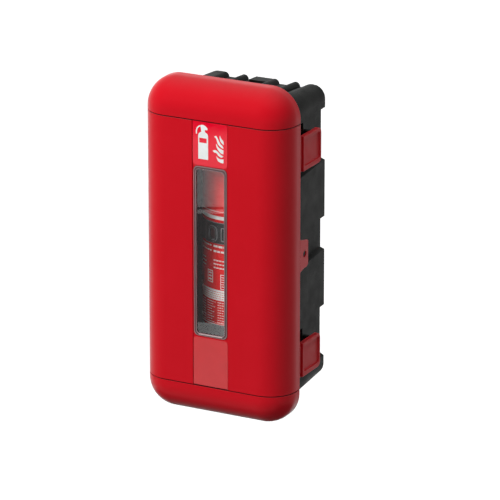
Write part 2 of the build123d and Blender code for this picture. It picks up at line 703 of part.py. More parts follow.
with BuildPart() as hinge_lugs_lower:
    add(lugs(-1, -1, PIN_CLEAR))
hinge_lugs_lower.part.label = "hinge_lugs_lower"
export_step(hinge_lugs_lower.part, "parts/hinge_lugs_lower.step")

with BuildPart() as hinge_pin_upper:
    add(pin_solid(-1, 1))
hinge_pin_upper.part.label = "hinge_pin_upper"
export_step(hinge_pin_upper.part, "parts/hinge_pin_upper.step")

with BuildPart() as hinge_pin_lower:
    add(pin_solid(-1, -1))
hinge_pin_lower.part.label = "hinge_pin_lower"
export_step(hinge_pin_lower.part, "parts/hinge_pin_lower.step")


def strap(sz):
    """Hinge strap: the same plate, held off the case by two webs."""
    with BuildPart(mode=Mode.PRIVATE) as s:
        add(plate(-1, sz, True))
        for off in (-26, 26):
            with Locations((-(LATCH_OUT - 8 + 120) / 2, 133 - DEPTH, mid(sz) + off)):
                Box(LATCH_OUT - 8 - 120, 56, 4)
        add(tub_outer_low, mode=Mode.SUBTRACT)
    return s.part


with BuildPart() as hinge_strap_upper:
    add(strap(1))
hinge_strap_upper.part.label = "hinge_strap_upper"
export_step(hinge_strap_upper.part, "parts/hinge_strap_upper.step")

with BuildPart() as hinge_strap_lower:
    add(strap(-1))
hinge_strap_lower.part.label = "hinge_strap_lower"
export_step(hinge_strap_lower.part, "parts/hinge_strap_lower.step")
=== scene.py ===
import math

import bmesh
import bpy
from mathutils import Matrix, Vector


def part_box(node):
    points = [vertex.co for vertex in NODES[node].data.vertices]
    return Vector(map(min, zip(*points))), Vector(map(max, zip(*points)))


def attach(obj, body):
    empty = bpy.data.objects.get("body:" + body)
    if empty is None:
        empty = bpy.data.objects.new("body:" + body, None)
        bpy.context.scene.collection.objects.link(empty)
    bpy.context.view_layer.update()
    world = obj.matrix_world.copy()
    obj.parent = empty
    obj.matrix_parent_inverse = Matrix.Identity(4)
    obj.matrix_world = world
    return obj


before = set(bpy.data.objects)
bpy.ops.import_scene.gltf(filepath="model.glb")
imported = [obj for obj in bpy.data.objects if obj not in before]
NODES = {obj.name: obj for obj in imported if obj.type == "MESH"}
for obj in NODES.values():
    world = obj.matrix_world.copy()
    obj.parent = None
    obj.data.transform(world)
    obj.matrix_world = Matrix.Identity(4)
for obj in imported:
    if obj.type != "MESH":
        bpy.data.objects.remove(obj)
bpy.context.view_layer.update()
SC = bpy.context.scene
MM = 0.001

# ------------------------------------------------------------------ camera
cam_data = bpy.data.cameras.new("camera")
cam = bpy.data.objects.new("camera", cam_data)
SC.collection.objects.link(cam)
cam.location = (3.6381, -7.0466, 2.6125)
cam.rotation_mode = "QUATERNION"
cam.rotation_quaternion = Vector((-0.43791, 0.84048, -0.3191)).to_track_quat("-Z", "Y")
cam_data.sensor_width = 36.0
cam_data.lens = 288.0
cam_data.clip_start = 0.1
cam_data.clip_end = 300.0
SC.camera = cam
SC.view_settings.view_transform = "Standard"
SC.view_settings.look = "None"
SC.view_settings.exposure = 0.0
SC.view_settings.gamma = 1.0


# ------------------------------------------------------------------ materials
def lin(r, g, b):
    """Linear colour from 0-255 display values."""
    out = []
    for v in (r, g, b):
        v /= 255.0
        out.append(v / 12.92 if v <= 0.04045 else ((v + 0.055) / 1.055) ** 2.4)
    return (*out, 1.0)


class Mat:
    """A Principled material that is built up from noise, grain and edge layers."""

    def __init__(self, name, base, rough=0.4, spec=0.5, metal=0.0, coat=0.0, coat_rough=0.1, ior=1.5):
        self.m = bpy.data.materials.new(name)
        self.m.use_nodes = True
        self.nt = self.m.node_tree
        self.nt.nodes.clear()
        self.out = self.new("ShaderNodeOutputMaterial")
        self.p = self.new("ShaderNodeBsdfPrincipled")
        self.link(self.p.outputs["BSDF"], self.out.inputs["Surface"])
        self.p.inputs["Base Color"].default_value = base
        self.p.inputs["Roughness"].default_value = rough
        self.p.inputs["Specular IOR Level"].default_value = spec
        self.p.inputs["Metallic"].default_value = metal
        self.p.inputs["Coat Weight"].default_value = coat
        self.p.inputs["Coat Roughness"].default_value = coat_rough
        self.p.inputs["IOR"].default_value = ior
        self.tc = self.new("ShaderNodeTexCoord")
        self.color = None
        self.normal = None
        self.base = base
        self.rough = rough

    def new(self, kind):
        return self.nt.nodes.new(kind)

    def link(self, a, b):
        return self.nt.links.new(a, b)

    def noise(self, scale, detail=3.0, rough=0.55, stretch=(1, 1, 1), dist=0.0):
        mp = self.new("ShaderNodeMapping")
        mp.inputs["Scale"].default_value = stretch
        self.link(self.tc.outputs["Object"], mp.inputs["Vector"])
        n = self.new("ShaderNodeTexNoise")
        n.inputs["Scale"].default_value = scale
        n.inputs["Detail"].default_value = detail
        n.inputs["Roughness"].default_value = rough
        n.inputs["Distortion"].default_value = dist
        self.link(mp.outputs["Vector"], n.inputs["Vector"])
        return n.outputs["Fac"]

    def ramp(self, fac, lo, hi, a=0.0, b=1.0):
        r = self.new("ShaderNodeMapRange")
        r.inputs["From Min"].default_value = lo
        r.inputs["From Max"].default_value = hi
        r.inputs["To Min"].default_value = a
        r.inputs["To Max"].default_value = b
        self.link(fac, r.inputs["Value"])
        return r.outputs["Result"]

    def math(self, op, a, b):
        n = self.new("ShaderNodeMath")
        n.operation = op
        for i, v in enumerate((a, b)):
            if isinstance(v, (int, float)):
                n.inputs[i].default_value = v
            else:
                self.link(v, n.inputs[i])
        return n.outputs["Value"]

    def tint(self, fac, color, current=None):
        """Mix another colour over the present one by fac."""
        n = self.new("ShaderNodeMix")
        n.data_type = "RGBA"
        n.blend_type = "MIX"
        self.link(fac, n.inputs[0])
        src = current if current is not None else self.color
        if src is None:
            n.inputs[6].default_value = self.base
        else:
            self.link(src, n.inputs[6])
        n.inputs[7].default_value = color
        self.color = n.outputs[2]
        self.link(self.color, self.p.inputs["Base Color"])
        return self

    def vary(self, color, scale, lo=0.35, hi=0.65, amount=1.0, stretch=(1, 1, 1), detail=3.0):
        return self.tint(self.ramp(self.noise(scale, detail, stretch=stretch), lo, hi, 0.0, amount), color)

    def shade(self, axis, lo, hi, color, amount=1.0):
        """Painted shade: darken towards one side, in object coordinates: full below lo, none above hi."""
        sp = self.new("ShaderNodeSeparateXYZ")
        self.link(self.tc.outputs["Object"], sp.inputs[0])
        return self.tint(self.ramp(sp.outputs[axis], lo, hi, amount, 0.0), color)

    def gloss(self, scale, a, b, stretch=(1, 1, 1), detail=4.0, lo=0.3, hi=0.7):
        self.link(self.ramp(self.noise(scale, detail, stretch=stretch), lo, hi, a, b), self.p.inputs["Roughness"])
        return self

    def bump(self, height, strength, distance=0.0002):
        b = self.new("ShaderNodeBump")
        b.inputs["Strength"].default_value = strength
        b.inputs["Distance"].default_value = distance
        self.link(height, b.inputs["Height"])
        if self.normal is not None:
            self.link(self.normal, b.inputs["Normal"])
        self.normal = b.outputs["Normal"]
        self.link(self.normal, self.p.inputs["Normal"])
        return self

    def grain(self, scale, strength, distance=0.0002, kind="noise"):
        if kind == "noise":
            return self.bump(self.noise(scale, 2.0), strength, distance)
        v = self.new("ShaderNodeTexVoronoi")
        v.inputs["Scale"].default_value = scale
        self.link(self.tc.outputs["Object"], v.inputs["Vector"])
        return self.bump(v.outputs["Distance"], strength, distance)

    def edges(self, color, radius=0.0015, amount=0.5, lo=0.02, hi=0.25, breakup=40.0):
        """Lighter colour along sharp outer edges: a painted edge highlight, broken up by noise into slight scuffing."""
        bev = self.new("ShaderNodeBevel")
        bev.samples = 4
        bev.inputs["Radius"].default_value = radius
        geo = self.new("ShaderNodeNewGeometry")
        dot = self.new("ShaderNodeVectorMath")
        dot.operation = "DOT_PRODUCT"
        self.link(bev.outputs["Normal"], dot.inputs[0])
        self.link(geo.outputs["Normal"], dot.inputs[1])
        away = self.math("SUBTRACT", 1.0, dot.outputs["Value"])
        mask = self.ramp(away, lo, hi, 0.0, amount)
        scuff_and_highlight = self.math("MULTIPLY", mask, self.ramp(self.noise(breakup, 4.0), 0.35, 0.65, 0.25, 1.0))
        return self.tint(scuff_and_highlight, color)


def rename(slot, mat, *names):
    """Give nodes their finish."""
    for n in names:
        ob = NODES[n]
        if ob.material_slots:
            for s in ob.material_slots:
                s.material = mat.m
        else:
            ob.data.materials.append(mat.m)


# red moulded plastic of the door
red = Mat("door_red_plastic", lin(200, 12, 29), 0.3, 0.09)
red.p.inputs["Sheen Weight"].default_value = 1.0
red.p.inputs["Sheen Roughness"].default_value = 0.25
red.vary(lin(196, 10, 26), 3.1, 0.3, 0.7)
red.vary(lin(205, 15, 33), 14.0, 0.45, 0.75, 0.4)
# painted highlight: lighter pink along the door's sharp edges, with slight scuffing
red.edges(lin(214, 60, 66), 0.0012, 0.3)
red.gloss(26.0, 0.294, 0.306)
red.grain(1400.0, 0.15, 0.00012)

latch_red = Mat("latch_red_plastic", lin(192, 16, 28), 0.42, 0.08)
latch_red.p.inputs["Sheen Weight"].default_value = 0.12
latch_red.p.inputs["Sheen Roughness"].default_value = 0.4
latch_red.vary(lin(182, 14, 25), 8.0, 0.3, 0.7)
# painted highlight: a light pink rim along the latch's sharp edges, with slight scuffing
latch_red.edges(lin(222, 96, 104), 0.0024, 0.7, 0.01, 0.2)
latch_red.gloss(40.0, 0.36, 0.5)
latch_red.grain(1400.0, 0.2, 0.00012)

# black moulded plastic of the case, with a coarser grain
black = Mat("case_black_plastic", lin(17, 18, 17), 0.44, 0.035)
black.p.inputs["Sheen Weight"].default_value = 0.06
black.p.inputs["Sheen Roughness"].default_value = 0.3
black.vary(lin(13, 14, 13), 6.0, 0.3, 0.7)
black.vary(lin(28, 29, 28), 45.0, 0.55, 0.8, 0.35)
# painted highlight: lighter grey along the case's sharp edges, with slight scuffing
black.edges(lin(92, 94, 93), 0.0014, 0.4)
black.gloss(30.0, 0.4, 0.54)
black.grain(900.0, 0.35, 0.00025, "cells")
black.grain(22.0, 0.05, 0.0006)

shelf = Mat("shelf_black_plastic", lin(62, 63, 64), 0.5, 0.2)
shelf.vary(lin(54, 55, 56), 6.0, 0.4, 0.75, 0.6)
shelf.gloss(12.0, 0.46, 0.56)
# painted highlight: lighter grey along the shelf's sharp edges, with slight scuffing
shelf.edges(lin(98, 99, 98), 0.0012, 0.4)
shelf.grain(900.0, 0.06, 0.0001, "cells")

retainer = Mat("retainer_black_plastic", lin(34, 34, 34), 0.45, 0.4)
retainer.vary(lin(48, 48, 48), 30.0, 0.4, 0.75, 0.6)
retainer.gloss(40.0, 0.36, 0.52)
retainer.grain(1100.0, 0.25, 0.00015)

rubber = Mat("strap_black_rubber", lin(22, 23, 24), 0.62, 0.12)
rubber.vary(lin(32, 33, 34), 30.0, 0.4, 0.75, 0.7)
rubber.gloss(50.0, 0.5, 0.68)
rubber.grain(700.0, 0.3, 0.0002)
rubber.bump(rubber.noise(60.0, 1.0, stretch=(0.2, 0.2, 30.0)), 0.25, 0.0003)

buckle = Mat("buckle_black_plastic", lin(36, 37, 38), 0.4, 0.16)
buckle.vary(lin(28, 29, 30), 40.0, 0.35, 0.7)
# painted highlight: light grey along the buckle's sharp edges, with slight scuffing
buckle.edges(lin(170, 172, 174), 0.0022, 0.9, 0.01, 0.15)
buckle.gloss(60.0, 0.3, 0.44)
buckle.grain(1200.0, 0.2, 0.00012)

tail = Mat("strap_tail_rubber", lin(66, 34, 35), 0.5, 0.15)
tail.vary(lin(48, 30, 31), 70.0, 0.35, 0.7)
tail.gloss(60.0, 0.42, 0.58)
tail.bump(tail.noise(300.0, 2.0), 0.05, 0.0001)

# painted highlight: the light grey of the buckle's raised lips stands in for light caught on their edges
buckle_lip = Mat("buckle_lip_highlight", lin(128, 129, 131), 0.36, 0.3)
buckle_lip.vary(lin(108, 109, 111), 60.0, 0.35, 0.7)
buckle_lip.gloss(60.0, 0.3, 0.44)
buckle_lip.bump(buckle_lip.noise(300.0, 2.0), 0.05, 0.0001)

hose = Mat("hose_black_rubber", lin(26, 26, 27), 0.55, 0.4)
hose.vary(lin(38, 38, 40), 50.0, 0.4, 0.75, 0.8)
hose.gloss(60.0, 0.45, 0.62)
hose.bump(hose.noise(240.0, 1.0, stretch=(1.0, 1.0, 0.12)), 0.3, 0.0003)
hose.grain(1500.0, 0.3, 0.0002)

nozzle = Mat("nozzle_black_plastic", lin(24, 24, 25), 0.4, 0.45)
nozzle.vary(lin(36, 36, 38), 50.0, 0.4, 0.75, 0.8)
nozzle.gloss(60.0, 0.32, 0.48)
# painted highlight: lighter grey along the nozzle's sharp edges, with slight scuffing
nozzle.edges(lin(88, 88, 90), 0.001, 0.4)
nozzle.grain(1200.0, 0.2, 0.00012)

base_black = Mat("foot_black_plastic", lin(28, 28, 29), 0.45, 0.42)
base_black.vary(lin(44, 44, 44), 36.0, 0.45, 0.75, 0.8)
base_black.gloss(50.0, 0.38, 0.55)
# painted highlight: lighter grey along the foot's sharp edges, with slight scuffing
base_black.edges(lin(92, 92, 92), 0.0012, 0.45)
base_black.grain(1000.0, 0.25, 0.00015)

# painted steel bottle
paint = Mat("bottle_red_paint", lin(204, 14, 16), 0.24, 0.2, coat=0.1, coat_rough=0.06)
paint.vary(lin(190, 14, 18), 9.0, 0.3, 0.7)
# painted shade: the bottle's left flank darkens to a dim red, standing in for the shadow cast inside the case
paint.shade("X", -0.070, -0.034, lin(62, 20, 22), 0.85)
paint.gloss(36.0, 0.18, 0.3)
paint.bump(paint.noise(260.0, 2.0), 0.12, 0.0002)
paint.bump(paint.noise(12.0, 1.0), 0.03, 0.001)

brass = Mat("valve_nickel_metal", lin(196, 190, 178), 0.28, 0.5, metal=1.0)
brass.vary(lin(168, 160, 146), 60.0, 0.35, 0.7)
brass.gloss(120.0, 0.2, 0.4)
brass.bump(brass.noise(700.0, 2.0), 0.12, 0.0001)

enamel = Mat("handle_black_enamel", lin(26, 26, 27), 0.3, 0.5, coat=0.3, coat_rough=0.1)
enamel.vary(lin(38, 38, 39), 60.0, 0.4, 0.7, 0.8)
# painted highlight: pale colour along the handle's sharp edges, with slight scuffing
enamel.edges(lin(130, 128, 124), 0.0008, 0.6)
enamel.gloss(70.0, 0.24, 0.42)
enamel.bump(enamel.noise(500.0, 2.0), 0.15, 0.0001)

steel = Mat("pin_bright_steel", lin(188, 188, 190), 0.25, 0.5, metal=1.0)
steel.vary(lin(150, 150, 154), 90.0, 0.35, 0.7)
steel.gloss(160.0, 0.18, 0.38, stretch=(1, 1, 0.1))
steel.bump(steel.noise(900.0, 1.0, stretch=(1, 1, 0.05)), 0.12, 0.0001)

chrome = Mat("gauge_plated_metal", lin(205, 205, 206), 0.16, 0.5, metal=1.0)
chrome.vary(lin(178, 178, 182), 80.0, 0.35, 0.7)
chrome.gloss(110.0, 0.1, 0.26)
chrome.bump(chrome.noise(600.0, 2.0), 0.08, 0.0001)

# print on the bottle and the dial
enamel_white = Mat("print_white", lin(214, 213, 211), 0.34, 0.2)
enamel_white.vary(lin(200, 199, 196), 50.0, 0.35, 0.7)
# painted shade: the print on the bottle's left flank darkens, standing in for the shadow cast inside the case
enamel_white.shade("X", -0.070, -0.030, lin(70, 32, 33), 0.9)
enamel_white.gloss(60.0, 0.24, 0.4)
enamel_white.bump(enamel_white.noise(500.0, 2.0), 0.05, 0.0001)

dial_green = Mat("dial_green_print", lin(36, 150, 70), 0.3, 0.5)
dial_green.vary(lin(30, 138, 62), 90.0, 0.35, 0.7)
dial_green.gloss(60.0, 0.24, 0.4)
dial_green.bump(dial_green.noise(500.0, 2.0), 0.05, 0.0001)

# printed sign and the bare label plate below the window
sign = Mat("sign_red_print", lin(233, 3, 42), 0.06, 0.5)
sign.vary(lin(227, 2, 38), 30.0, 0.35, 0.7)
sign.gloss(70.0, 0.04, 0.08)
sign.bump(sign.noise(400.0, 2.0), 0.04, 0.0001)

sign_white = Mat("sign_white_print", lin(238, 242, 240), 0.2, 0.5)
sign_white.vary(lin(226, 232, 230), 60.0, 0.35, 0.7)
sign_white.gloss(70.0, 0.16, 0.26)
sign_white.bump(sign_white.noise(500.0, 2.0), 0.04, 0.0001)

label = Mat("label_red_plate", lin(202, 24, 32), 0.2, 0.62)
label.vary(lin(194, 20, 28), 24.0, 0.35, 0.7)
label.gloss(60.0, 0.14, 0.24)
label.bump(label.noise(500.0, 2.0), 0.05, 0.0001)
# painted highlight: lighter pink along the label plate's sharp edges, with slight scuffing
label.edges(lin(226, 96, 100), 0.0008, 0.5)


def clear(name, tint, rough, dens, scratch=0.04):
    """Clear plastic: a real transmitting body that lamps shine through."""
    m = Mat(name, tint, rough, 0.5, ior=1.52)
    m.p.inputs["Transmission Weight"].default_value = 1.0
    m.gloss(30.0, rough, rough * 2.2, detail=5.0)
    m.bump(m.noise(120.0, 2.0, stretch=(1.0, 1.0, 0.15)), scratch, 0.0001)
    tr = m.new("ShaderNodeBsdfTransparent")
    tr.inputs["Color"].default_value = dens
    mix = m.new("ShaderNodeMixShader")
    lp = m.new("ShaderNodeLightPath")
    m.link(lp.outputs["Is Shadow Ray"], mix.inputs["Fac"])
    m.link(m.p.outputs["BSDF"], mix.inputs[1])
    m.link(tr.outputs["BSDF"], mix.inputs[2])
    m.link(mix.outputs["Shader"], m.out.inputs["Surface"])
    return m


pane = clear("window_clear_plastic", (0.97, 0.98, 0.98, 1.0), 0.004, (0.9, 0.9, 0.9, 1.0), 0.002)

border = Mat("window_border_plastic", lin(104, 66, 68), 0.1, 0.5, ior=1.49)
border.p.inputs["Transmission Weight"].default_value = 0.3
border.gloss(50.0, 0.06, 0.16)
border.vary(lin(88, 58, 60), 20.0, 0.35, 0.7)
border.bump(border.noise(200.0, 2.0), 0.05, 0.0001)

# painted highlight: the light colour of the border's lips stands in for light caught on their edges
lip = Mat("window_border_lip_highlight", lin(172, 140, 142), 0.12, 0.5, ior=1.49)
lip.p.inputs["Transmission Weight"].default_value = 0.15
lip.vary(lin(136, 104, 106), 16.0, 0.35, 0.7)
lip.gloss(50.0, 0.08, 0.18)
lip.bump(lip.noise(200.0, 2.0), 0.05, 0.0001)

# painted shade: a dark line on the border's step stands in for the shade in it
lip_dark = Mat("window_border_step_shade", lin(70, 60, 62), 0.2, 0.4, ior=1.49)
lip_dark.vary(lin(58, 50, 52), 30.0, 0.35, 0.7)
lip_dark.gloss(50.0, 0.14, 0.26)
lip_dark.bump(lip_dark.noise(200.0, 2.0), 0.05, 0.0001)

rename("door", red, "door_center_panel", "door_top_cap", "door_bottom_cap", "seal_tab")
rename("latch", latch_red, "latch_upper", "latch_lower", "hinge_strap_upper", "hinge_strap_lower",
       "latch_lugs_upper", "latch_lugs_lower", "hinge_lugs_upper", "hinge_lugs_lower")
rename("case", black, "back_case", "catch_upper", "catch_lower")
rename("shelf", shelf, "bottle_shelf", "bottle_cradle")
rename("retainer", retainer, "window_retainer")
rename("strap", rubber, "strap_band")
rename("buckle", buckle, "strap_buckle")
rename("hose", hose, "discharge_hose")
rename("nozzle", nozzle, "hose_nozzle", "hose_clip")
rename("foot", base_black, "extinguisher_base")
rename("bottle", paint, "extinguisher_cylinder")
rename("valve", brass, "valve_body", "neck_collar")
rename("handle", enamel, "carry_handle", "squeeze_lever")
rename("pins", steel, "safety_pin", "hinge_pin_upper", "hinge_pin_lower", "latch_pin_upper", "latch_pin_lower")
rename("gauge", chrome, "pressure_gauge")
rename("sign", sign, "sign_plate")
rename("label", label, "label_plate")
rename("pane", pane, "window_pane")
rename("border", border, "window_frame")

# ------------------------------------------------------------------ studio
world = bpy.data.worlds.new("studio")
SC.world = world
world.use_nodes = True
wn = world.node_tree
wn.nodes.clear()
wo = wn.nodes.new("ShaderNodeOutputWorld")
bg = wn.nodes.new("ShaderNodeBackground")
tc = wn.nodes.new("ShaderNodeTexCoord")
sep = wn.nodes.new("ShaderNodeSeparateXYZ")
wn.links.new(tc.outputs["Generated"], sep.inputs["Vector"])
# soft fill: a dim dome that is a little brighter overhead, and plain white where it is seen or mirrored
up = wn.nodes.new("ShaderNodeMapRange")
up.inputs["From Min"].default_value = -0.6
up.inputs["From Max"].default_value = 0.9
up.inputs["To Min"].default_value = 0.17
up.inputs["To Max"].default_value = 0.31
wn.links.new(sep.outputs["Z"], up.inputs["Value"])
path = wn.nodes.new("ShaderNodeLightPath")
pick = wn.nodes.new("ShaderNodeMix")
pick.data_type = "FLOAT"
pick.inputs[2].default_value = 1.0
over = wn.nodes.new("ShaderNodeMapRange")
over.inputs["From Min"].default_value = 0.62
over.inputs["From Max"].default_value = 0.95
over.inputs["To Min"].default_value = 1.0
over.inputs["To Max"].default_value = 3.9
wn.links.new(sep.outputs["Z"], over.inputs["Value"])
wn.links.new(over.outputs["Result"], pick.inputs[2])
wn.links.new(path.outputs["Is Diffuse Ray"], pick.inputs[0])
wn.links.new(up.outputs["Result"], pick.inputs[3])
bg.inputs["Color"].default_value = (1.0, 1.0, 1.0, 1.0)
wn.links.new(pick.outputs[0], bg.inputs["Strength"])
wn.links.new(bg.outputs["Background"], wo.inputs["Surface"])

# floor, plain and pale, far below the hanging cabinet
bm = bmesh.new()
bmesh.ops.create_grid(bm, x_segments=8, y_segments=8, size=40.0)
me = bpy.data.meshes.new("floor")
bm.to_mesh(me)
bm.free()
floor = bpy.data.objects.new("floor", me)
SC.collection.objects.link(floor)
floor.location = (0, 0, -2.6)
fl = Mat("floor_white", (0.93, 0.93, 0.93, 1.0), 0.8, 0.1)
fl.vary((0.9, 0.9, 0.9, 1.0), 0.4, 0.35, 0.7)
fl.gloss(1.0, 0.75, 0.9)
fl.p.inputs["Emission Color"].default_value = (1.0, 1.0, 1.0, 1.0)
fl.p.inputs["Emission Strength"].default_value = 0.7
floor.data.materials.append(fl.m)
floor.visible_diffuse = False

# dark studio board that only mirrors see: it cuts the floor's reflection in the clear window and the sign
bm = bmesh.new()
for k, quad in enumerate((
    [(-1.60, -0.716), (-1.35, -0.664), (-1.35, 0.4), (-1.60, 0.4)],
    [(-1.60, -0.9386), (-1.35, -0.9009), (-1.35, -0.8922), (-1.60, -0.9299)],
    [(-1.60, -1.2840), (-1.35, -1.2385), (-1.35, -0.9129), (-1.60, -0.9507)],
)):
    bm.faces.new([bm.verts.new((x, -3.0, z)) for x, z in quad]).material_index = min(k, 1)
me = bpy.data.meshes.new("studio_board")
bm.to_mesh(me)
bm.free()
board = bpy.data.objects.new("studio_board", me)
SC.collection.objects.link(board)
bo = Mat("board_dark", (0.012, 0.012, 0.012, 1.0), 0.9, 0.0)
bo.vary((0.016, 0.016, 0.016, 1.0), 3.0)
board.data.materials.append(bo.m)
bg_grey = Mat("board_grey", (0.012, 0.012, 0.012, 1.0), 0.9, 0.0)
bg_grey.vary((0.016, 0.016, 0.016, 1.0), 3.0)
bg_grey.p.inputs["Emission Color"].default_value = (1.0, 0.93, 0.94, 1.0)
bg_grey.p.inputs["Emission Strength"].default_value = 0.3
board.data.materials.append(bg_grey.m)
board.visible_camera = board.visible_diffuse = board.visible_shadow = False

# a second dark board below the cabinet keeps its underside from mirroring the pale floor
bm = bmesh.new()
bm.faces.new([bm.verts.new(c) for c in ((-2.6, -1.1, -2.2), (2.6, -1.1, -2.2), (2.6, 2.0, -2.2), (-2.6, 2.0, -2.2))])
me = bpy.data.meshes.new("studio_board_low")
bm.to_mesh(me)
bm.free()
low = bpy.data.objects.new("studio_board_low", me)
SC.collection.objects.link(low)
low.data.materials.append(bo.m)
low.visible_camera = low.visible_diffuse = low.visible_shadow = False


def lamp(name, kind, energy, loc, target, size=1.0, size_y=None, angle=None):
    d = bpy.data.lights.new(name, kind)
    d.energy = energy
    if kind == "AREA":
        d.shape = "RECTANGLE"
        d.size = size
        d.size_y = size_y or size
    if angle is not None:
        d.angle = math.radians(angle)
    o = bpy.data.objects.new(name, d)
    SC.collection.objects.link(o)
    o.location = loc
    o.rotation_mode = "QUATERNION"
    o.rotation_quaternion = (Vector(target) - Vector(loc)).to_track_quat("-Z", "Y")
    o.visible_camera = False
    return o


key = lamp("key", "AREA", 132.0, (-1.55, -3.1, 2.2), (0, -0.15, 0.0), size=1.8)
key.visible_glossy = False


# ------------------------------------------------------------------ pieces
def mesh_piece(name, verts, faces, mat, body, smooth=True):
    me = bpy.data.meshes.new(name)
    me.from_pydata([tuple(c * MM for c in v) for v in verts], [], faces)
    me.update()
    ob = bpy.data.objects.new(name, me)
    SC.collection.objects.link(ob)
    me.materials.append(mat.m)
    for p in me.polygons:
        p.use_smooth = smooth
    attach(ob, body)
    return ob


def print_piece(name, outlines, to3d, mat, body, thick=0.25, cuts=64):
    """Thin raised print from closed 2-D outlines (millimetres), laid on a surface by to3d(u, v, h)."""
    bm = bmesh.new()
    for poly in outlines:
        vs = [bm.verts.new((u, v, 0)) for u, v in poly]
        bm.faces.new(vs)
    bmesh.ops.triangulate(bm, faces=bm.faces[:])
    ext = bmesh.ops.extrude_face_region(bm, geom=bm.faces[:])
    for e in ext["geom"]:
        if isinstance(e, bmesh.types.BMVert):
            e.co.z = thick
    bmesh.ops.recalc_face_normals(bm, faces=bm.faces[:])
    for v in bm.verts:
        v.co = Vector(to3d(*v.co)) * MM
    bmesh.ops.recalc_face_normals(bm, faces=bm.faces[:])
    me = bpy.data.meshes.new(name)
    bm.to_mesh(me)
    bm.free()
    me.materials.append(mat.m)
    ob = bpy.data.objects.new(name, me)
    SC.collection.objects.link(ob)
    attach(ob, body)
    return ob


def smooth_outline(points, per=8):
    """Closed Catmull-Rom outline; a point given as (x, y, 1) stays a sharp corner."""
    n = len(points)
    out = []
    for i in range(n):
        p0, p1, p2, p3 = (points[(i + k - 1) % n] for k in range(4))
        a, b, c, d = (Vector(p[:2]) for p in (p0, p1, p2, p3))
        m1 = (c - a) * 0.5 if len(p1) < 3 else (c - b) * 0.6
        m2 = (d - b) * 0.5 if len(p2) < 3 else (c - b) * 0.6
        for k in range(per):
            t = k / per
            t2, t3 = t * t, t * t * t
            q = b * (2 * t3 - 3 * t2 + 1) + m1 * (t3 - 2 * t2 + t) + c * (-2 * t3 + 3 * t2) + m2 * (t3 - t2)
            out.append((q.x, q.y))
    return out


def rounded(x0, x1, z0, z1, r, n=8):
    """Closed outline of a rounded rectangle."""
    out = []
    for cx, cz, a0 in ((x1 - r, z1 - r, 0), (x0 + r, z1 - r, 90), (x0 + r, z0 + r, 180), (x1 - r, z0 + r, 270)):
        for k in range(n + 1):
            a = math.radians(a0 + 90 * k / n)
            out.append((cx + r * math.cos(a), cz + r * math.sin(a)))
    return out


def ring_piece(name, outer, inner, to3d, mat, body, h0, h1):
    """Thin closed ring between two outlines with the same number of points."""
    n = len(outer)
    verts = [to3d(u, v, h) for h in (h0, h1) for loop in (outer, inner) for u, v in loop]
    faces = []
    for i in range(n):
        j = (i + 1) % n
        faces += [(2 * n + i, 2 * n + j, 3 * n + j, 3 * n + i), (i, n + i, n + j, j),
                  (i, j, 2 * n + j, 2 * n + i), (n + i, 3 * n + i, 3 * n + j, n + j)]
    ob = mesh_piece(name, verts, faces, mat, body, False)
    bm = bmesh.new()
    bm.from_mesh(ob.data)
    bmesh.ops.recalc_face_normals(bm, faces=bm.faces[:])
    bm.to_mesh(ob.data)
    bm.free()
    return ob


def rect(x0, x1, z0, z1):
    return [(x0, z0), (x1, z0), (x1, z1), (x0, z1)]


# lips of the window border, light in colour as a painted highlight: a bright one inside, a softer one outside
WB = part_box("window_frame")
WX, WZ0, WZ1 = WB[1][0] / MM, WB[0][2] / MM, WB[1][2] / MM
WY = WB[0][1] / MM


def on_border(u, v, h):
    return (u, WY - h, v)


def border_ring(name, a, b, mat, h):
    ra, rb = 10 - a * 3 / 6.5, 10 - b * 3 / 6.5
    ring_piece(name, rounded(-WX + a, WX - a, WZ0 + a, WZ1 - a, ra),
               rounded(-WX + b, WX - b, WZ0 + b, WZ1 - b, rb), on_border, mat, "door", -0.4, h)


border_ring("window_border_lip_inner", 5.3, 6.4, lip, 0.2)
border_ring("window_border_lip_outer", 0.9, 1.9, lip, 0.16)
# painted shade along the border's step
border_ring("window_border_step", 4.4, 5.0, lip_dark, 0.08)

# painted highlight: a light strip along the lower border stands in for the light caught on its lower lip
glint = Mat("window_border_glint", lin(214, 196, 196), 0.14, 0.5, ior=1.49)
glint.vary(lin(186, 162, 164), 22.0, 0.35, 0.7)
glint.gloss(50.0, 0.1, 0.2)
glint.bump(glint.noise(200.0, 2.0), 0.05, 0.0001)
print_piece("window_border_glint_low", [
    [(-WX + 12, WZ0 + 3.4), (WX - 12, WZ0 + 3.4), (WX - 10.5, WZ0 + 5.2), (-WX + 10.5, WZ0 + 5.2)],
], on_border, glint, "door", 0.2)

# painted shade: dark strips in the seams between the door panel and its two caps stand in for the shadow in the gaps
shade_strip = Mat("seam_shade_strip", lin(46, 8, 10), 0.7, 0.1)
shade_strip.vary(lin(34, 6, 8), 60.0, 0.35, 0.7)
shade_strip.gloss(60.0, 0.6, 0.78)
shade_strip.bump(shade_strip.noise(300.0, 2.0), 0.05, 0.0001)
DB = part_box("door_center_panel")
DX, DY0, DY1 = DB[1][0] / MM, DB[0][1] / MM, DB[1][1] / MM


def door_path(inset):
    """Outline of the door in plan, from the left rear edge round the front to the right rear edge."""
    r = 60.0 - inset
    cx, cy = DX - 60.0, DY0 + 60.0
    pts = [(-DX + inset, DY1 - 2.0)]
    for k in range(13):
        a = math.radians(180 + 90 * k / 12)
        pts.append((-cx + r * math.cos(a), cy + r * math.sin(a)))
    for k in range(13):
        a = math.radians(270 + 90 * k / 12)
        pts.append((cx + r * math.cos(a), cy + r * math.sin(a)))
    pts.append((DX - inset, DY1 - 2.0))
    return pts


